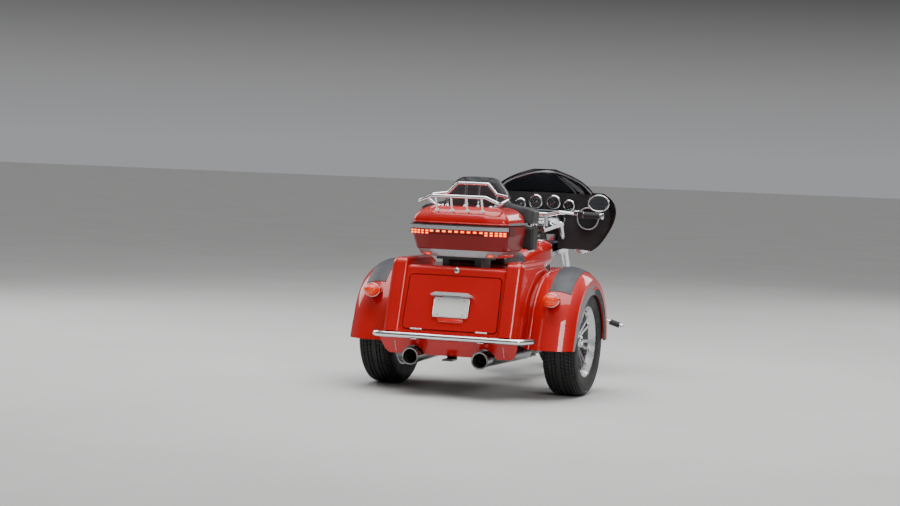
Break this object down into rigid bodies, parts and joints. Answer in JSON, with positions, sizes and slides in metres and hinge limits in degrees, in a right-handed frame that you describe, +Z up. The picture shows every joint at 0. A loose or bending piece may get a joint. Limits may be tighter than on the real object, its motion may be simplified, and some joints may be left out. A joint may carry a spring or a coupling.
{
  "type": "motorized touring trike",
  "caption": "Three-wheeled touring motorcycle with a fork-mounted fairing, V-twin engine, rear body with load space and a lidded top box.",
  "frame": {"origin": "on the ground under the middle of the bounding box", "axes": "+Y forward along the vehicle, +X to its right, +Z up"},
  "size_m": [1.39, 2.67, 1.336],
  "materials": {
    "tyre": "matt, slightly dusty tread",
    "cast_alloy": "satin machined",
    "red_paint": "gloss, clear coated",
    "dark_red_paint": "gloss, clear coated",
    "black_paint": "gloss",
    "dark_pad": "satin, fine grained",
    "amber_lens": "ribbed lens",
    "lamp_red": "dark strip with lit lamps",
    "plate_white": "blank plate",
    "chrome": "polished",
    "black_steel": "semi-gloss",
    "belt_rubber": "toothed belt",
    "engine_alloy": "satin cast",
    "engine_black": "wrinkle black with bright fin edges",
    "seat_leather": "grained vinyl",
    "black_plastic": "fine texture",
    "smoked_screen": "dark smoked"
  },
  "bodies": {
    "chassis": {"air_cleaner": "chrome", "backrest": "seat_leather", "box_base": "dark_red_paint", "box_light_bar": "lamp_red", "box_mount": "black_steel", "cam_cover": "chrome", "cylinders": "engine_black", "drive_belt": "belt_rubber", "engine_case": "engine_alloy", "engine_guard": "chrome", "exhaust_headers": "chrome", "fender_left": "red_paint", "fender_right": "red_paint", "fender_trims": "dark_pad", "floorboards": "chrome", "foot_controls": "chrome", "frame": "black_steel", "fuel_tank": "red_paint", "highway_pegs": "chrome", "mufflers": "chrome", "primary_cover": "chrome", "rear_axle": "black_steel", "rear_bumper": "chrome", "rear_shocks": "chrome", "seat": "seat_leather", "side_covers": "red_paint", "speaker_pods": "black_plastic", "swing_arm": "black_steel", "tank_console": "black_plastic", "tow_bracket": "black_steel", "trike_body": "red_paint", "turn_signals": "amber_lens", "valve_covers": "chrome"},
    "fork": {"fork": "chrome", "handlebar": "chrome", "fairing_outer": "black_paint", "fairing_inner": "black_plastic", "windscreen": "smoked_screen", "front_lamps": "chrome", "mirrors": "chrome", "front_fender": "red_paint", "brake_calipers": "black_steel"},
    "front_wheel": {"tyre_front": "tyre", "wheel_front": "cast_alloy"},
    "rear_wheel_left": {"tyre_rear_left": "tyre", "wheel_rear_left": "cast_alloy"},
    "rear_wheel_right": {"tyre_rear_right": "tyre", "wheel_rear_right": "cast_alloy"},
    "trunk_door": {"trunk_door": "red_paint", "number_plate": "plate_white", "plate_lamp": "chrome"},
    "box_lid": {"box_lid": "red_paint", "luggage_rack": "chrome"}
  },
  "joints": [
    {"name": "steering", "type": "hinge", "parent": "chassis", "child": "fork", "pos_m": [0, 0.6151, 0.8], "axis": [0, -0.5299, 0.848], "range_deg": [-35, 35]},
    {"name": "front_wheel_spin", "type": "hinge", "parent": "fork", "child": "front_wheel", "pos_m": [0, 1.015, 0.32], "axis": [1, 0, 0], "continuous": true},
    {"name": "rear_left_wheel_spin", "type": "hinge", "parent": "chassis", "child": "rear_wheel_left", "pos_m": [-0.577, -0.66, 0.325], "axis": [1, 0, 0], "continuous": true},
    {"name": "rear_right_wheel_spin", "type": "hinge", "parent": "chassis", "child": "rear_wheel_right", "pos_m": [0.577, -0.66, 0.325], "axis": [1, 0, 0], "continuous": true},
    {"name": "trunk_door_hinge", "type": "hinge", "parent": "chassis", "child": "trunk_door", "pos_m": [0, -1.2773, 0.391], "axis": [1, 0, 0], "range_deg": [0, 90]},
    {"name": "box_lid_hinge", "type": "hinge", "parent": "chassis", "child": "box_lid", "pos_m": [-0.325, -0.95, 1.0065], "axis": [0, -1, 0], "range_deg": [0, 70]}
  ]
}
